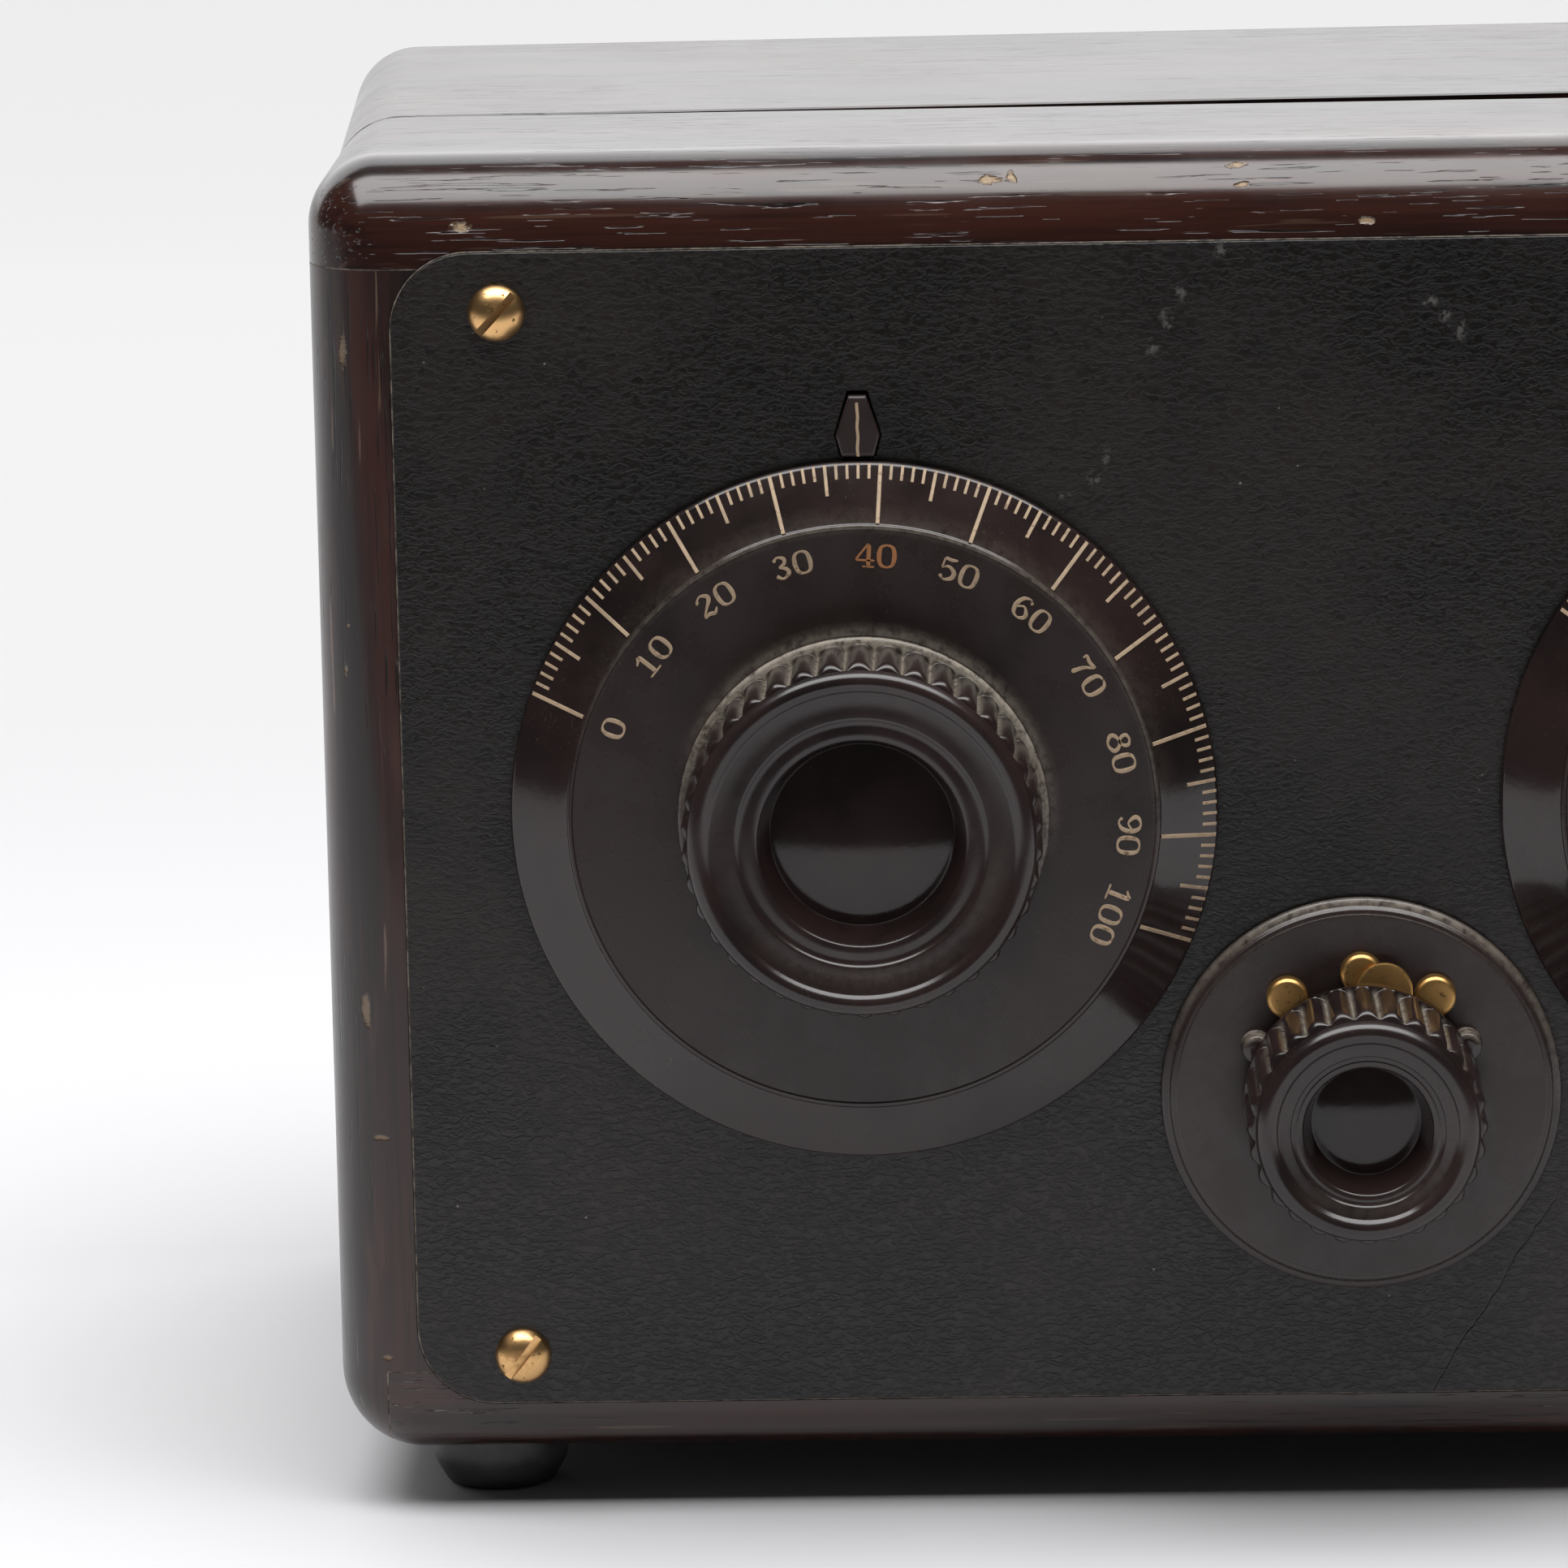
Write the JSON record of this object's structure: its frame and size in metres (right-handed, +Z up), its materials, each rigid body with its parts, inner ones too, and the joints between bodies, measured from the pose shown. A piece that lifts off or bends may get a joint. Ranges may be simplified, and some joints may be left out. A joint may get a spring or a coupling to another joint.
{
  "type": "crystal radio set",
  "caption": "Wooden crystal radio set with two numbered tuning dials, a selector switch, side terminals and a hinged rear cover over its condensers, coil and detector.",
  "frame": {"origin": "centre of the bounding box at the height of the feet's undersides", "axes": "+X to the user's right along the panel, +Y from the panel to the back, +Z up; the user faces +Y"},
  "size_m": [0.3194, 0.2054, 0.196],
  "materials": {
    "wood": "dark red-brown mahogany, worn semi-gloss varnish",
    "panel": "black panel with a fine leather grain, satin",
    "bakelite": "dark brown-black moulded phenolic, polished",
    "brass": "aged brass, dull yellow with dark tarnish",
    "vane_metal": "plain sheet aluminium",
    "winding": "green cotton-covered copper wire",
    "former": "shellacked card tube",
    "galena": "grey lead-sulphide crystal with bright facets"
  },
  "bodies": {
    "cabinet": {"front_top_rail": "wood", "front_left_stile": "wood", "front_right_stile": "wood", "front_bottom_rail": "wood", "front_panel": "panel", "panel_screw_1": "brass", "panel_screw_2": "brass", "panel_screw_3": "brass", "panel_screw_4": "brass", "pointer_left": "bakelite", "pointer_right": "bakelite", "foot_front_left": "wood", "foot_front_right": "wood", "switch_base": "bakelite", "switch_stud_1": "brass", "switch_stud_2": "brass", "switch_stud_3": "brass", "condenser_left_front_plate": "bakelite", "condenser_left_rear_plate": "bakelite", "condenser_left_stator": "vane_metal", "condenser_right_front_plate": "bakelite", "condenser_right_rear_plate": "bakelite", "condenser_right_stator": "vane_metal", "coil_base": "wood", "coil_former": "former", "coil_winding": "winding", "detector_base": "bakelite", "crystal_cup": "brass", "crystal": "galena", "terminal_strip": "bakelite", "terminal_earth": "brass", "terminal_phones_low": "brass", "terminal_phones_high": "brass", "terminal_aerial": "brass", "aerial_wire": "winding", "hinge_leaf_fixed": "brass", "hook_stud": "brass"},
    "left_tuning": {"dial_left": "bakelite", "knob_left": "bakelite", "rotor_left": "vane_metal"},
    "right_tuning": {"dial_right": "bakelite", "knob_right": "bakelite", "rotor_right": "vane_metal"},
    "selector": {"switch_wiper": "brass", "switch_knob": "bakelite"},
    "whisker_ball": {"detector_ball": "brass"},
    "whisker_arm": {"detector_arm": "brass"},
    "earth_nut": {"nut_earth": "brass"},
    "phones_low_nut": {"nut_phones_low": "brass"},
    "phones_high_nut": {"nut_phones_high": "brass"},
    "aerial_nut": {"nut_aerial": "brass"},
    "cover": {"rear_top_board": "wood", "rear_bottom_board": "wood", "rear_left_board": "wood", "rear_right_board": "wood", "rear_back_board": "wood", "foot_rear_left": "wood", "foot_rear_right": "wood", "hinge_leaf_moving": "brass"},
    "hook": {"cover_hook": "brass"}
  },
  "joints": [
    {"name": "left_dial_turn", "type": "hinge", "parent": "cabinet", "child": "left_tuning", "pos_m": [-0.07806, -0.07672, 0.103], "axis": [0, 1, 0], "range_deg": [-112.72, 69.08]},
    {"name": "right_dial_turn", "type": "hinge", "parent": "cabinet", "child": "right_tuning", "pos_m": [0.06164, -0.07672, 0.103], "axis": [0, 1, 0], "range_deg": [-125.44, 56.36]},
    {"name": "selector_turn", "type": "hinge", "parent": "cabinet", "child": "selector", "pos_m": [-0.00821, -0.07672, 0.06111], "axis": [0, 1, 0], "range_deg": [-50.5, 27.7]},
    {"name": "whisker_swing", "type": "hinge", "parent": "cabinet", "child": "whisker_ball", "pos_m": [0.08779, -0.03572, 0.0423], "axis": [0, 0, 1], "range_deg": [-15, 15]},
    {"name": "whisker_slide", "type": "slide", "parent": "whisker_ball", "child": "whisker_arm", "axis": [1, 0, 0], "range_m": [-0.003, 0.004]},
    {"name": "earth_nut_travel", "type": "slide", "parent": "cabinet", "child": "earth_nut", "axis": [1, 0, 0], "range_m": [-0.0012, 0.005]},
    {"name": "phones_low_nut_travel", "type": "slide", "parent": "cabinet", "child": "phones_low_nut", "axis": [1, 0, 0], "range_m": [-0.0012, 0.005]},
    {"name": "phones_high_nut_travel", "type": "slide", "parent": "cabinet", "child": "phones_high_nut", "axis": [1, 0, 0], "range_m": [-0.0012, 0.005]},
    {"name": "aerial_nut_travel", "type": "slide", "parent": "cabinet", "child": "aerial_nut", "axis": [1, 0, 0], "range_m": [-0.0012, 0.005]},
    {"name": "cover_hinge", "type": "hinge", "parent": "cabinet", "child": "cover", "pos_m": [-0.15726, -0.01872, 0], "axis": [0, 0, 1], "range_deg": [-2.5, 105]},
    {"name": "hook_swing", "type": "hinge", "parent": "cover", "child": "hook", "pos_m": [0.1385, 0.00471, 0.12], "axis": [-0.999, -0.0436, 0], "range_deg": [0, 90]}
  ]
}
